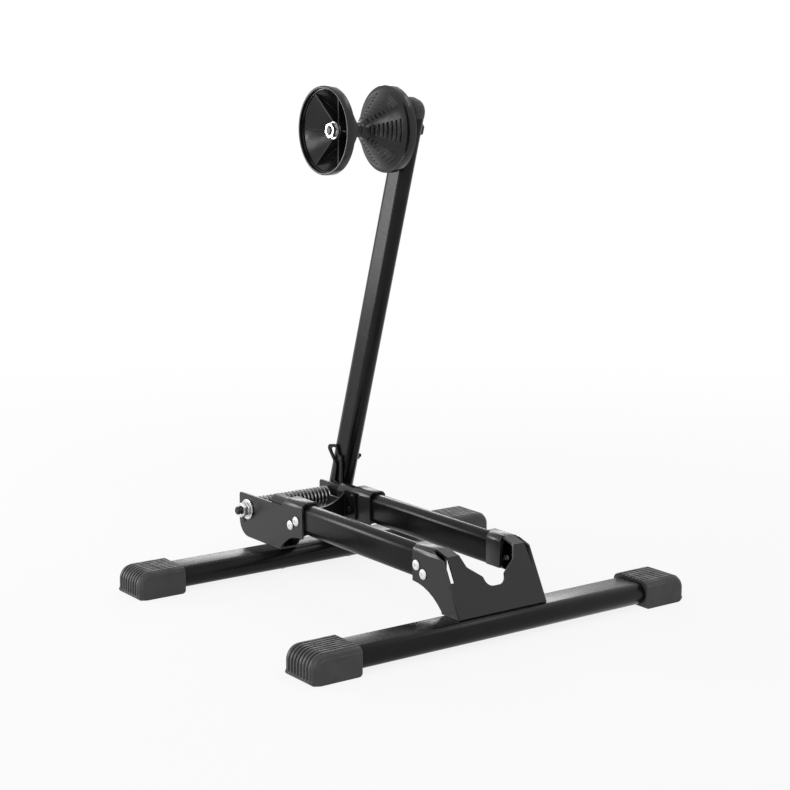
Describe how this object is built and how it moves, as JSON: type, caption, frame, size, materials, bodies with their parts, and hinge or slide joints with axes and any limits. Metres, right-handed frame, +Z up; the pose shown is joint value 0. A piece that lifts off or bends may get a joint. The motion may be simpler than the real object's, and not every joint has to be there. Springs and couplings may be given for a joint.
{
  "type": "floor bike rack",
  "caption": "Low folding floor rack for a bicycle wheel: wide feet, two rails, a notched front plate and a sprung arm whose double-cone roller presses on the tyre.",
  "frame": {"origin": "on the floor under the middle of the rack's bounding box", "axes": "X across the rack to the right as seen from the front, the bicycle rolls in from -Y towards +Y, +Z up"},
  "size_m": [0.41, 0.3664, 0.4648],
  "materials": {
    "powder_coat": "semi-gloss black powder coat",
    "spring_wire": "oiled black spring steel",
    "cap_plastic": "matt black moulded plastic",
    "roller_plastic": "matt dark grey moulded plastic",
    "zinc": "bright zinc plate",
    "rivet": "bright blind rivet heads"
  },
  "bodies": {
    "base": {"arm_axle": "zinc", "axle_flange_washer": "zinc", "axle_head_washer": "zinc", "axle_nut": "zinc", "cradle_rivet_1_left": "zinc", "cradle_rivet_1_right": "zinc", "cradle_rivet_2_left": "zinc", "cradle_rivet_2_right": "zinc", "front_bracket": "powder_coat", "front_floor_bolt_left": "zinc", "front_floor_bolt_right": "zinc", "front_floor_nut_left": "zinc", "front_floor_nut_right": "zinc", "front_floor_tube": "powder_coat", "front_foot_cap_left": "cap_plastic", "front_foot_cap_right": "cap_plastic", "front_rivet_1_left": "rivet", "front_rivet_1_right": "rivet", "front_rivet_2_left": "rivet", "front_rivet_2_right": "rivet", "rail_left": "powder_coat", "rail_right": "powder_coat", "rear_bracket_left": "powder_coat", "rear_bracket_right": "powder_coat", "rear_cradle": "powder_coat", "rear_floor_bolt_left": "zinc", "rear_floor_bolt_right": "zinc", "rear_floor_nut_left": "zinc", "rear_floor_nut_right": "zinc", "rear_floor_tube": "powder_coat", "rear_foot_cap_left": "cap_plastic", "rear_foot_cap_right": "cap_plastic", "rear_rivet_1_left": "rivet", "rear_rivet_1_right": "rivet", "rear_rivet_2_left": "rivet", "rear_rivet_2_right": "rivet", "spring_anchor_pin": "zinc", "torsion_spring": "spring_wire"},
    "hub": {"swing_hub": "powder_coat", "drive_pin": "zinc"},
    "arm": {"arm_tube": "powder_coat", "arm_end_cap": "cap_plastic", "arm_foot_cap": "cap_plastic", "arm_bush": "zinc", "lever_pin": "zinc", "lever_pin_nut": "zinc", "roller_axle": "zinc", "roller_washer_left": "zinc", "roller_nut_left": "zinc", "roller_spacer": "cap_plastic", "roller_washer_right": "zinc", "roller_nut_right": "zinc"},
    "lever": {"release_lever": "powder_coat"},
    "roller": {"roller_half_left": "roller_plastic", "roller_half_right": "roller_plastic"}
  },
  "joints": [
    {"name": "hub_swing", "type": "hinge", "parent": "base", "child": "hub", "pos_m": [0, 0.16504, 0.0517], "axis": [1, 0, 0], "range_deg": [-48, 0], "stiffness_Nm_per_rad": 2, "springref_deg": 60.16, "deforming": ["torsion_spring"]},
    {"name": "arm_fold", "type": "hinge", "parent": "hub", "child": "arm", "pos_m": [0, 0.16504, 0.0517], "axis": [1, 0, 0], "range_deg": [0, 74]},
    {"name": "latch_release", "type": "hinge", "parent": "arm", "child": "lever", "pos_m": [0, 0.14933, 0.09322], "axis": [-1, 0, 0], "range_deg": [0, 8], "stiffness_Nm_per_rad": 0.05, "springref_deg": -17.19},
    {"name": "roller_spin", "type": "hinge", "parent": "arm", "child": "roller", "pos_m": [0, 0.0503, 0.42465], "axis": [1, 0, 0], "continuous": true}
  ]
}
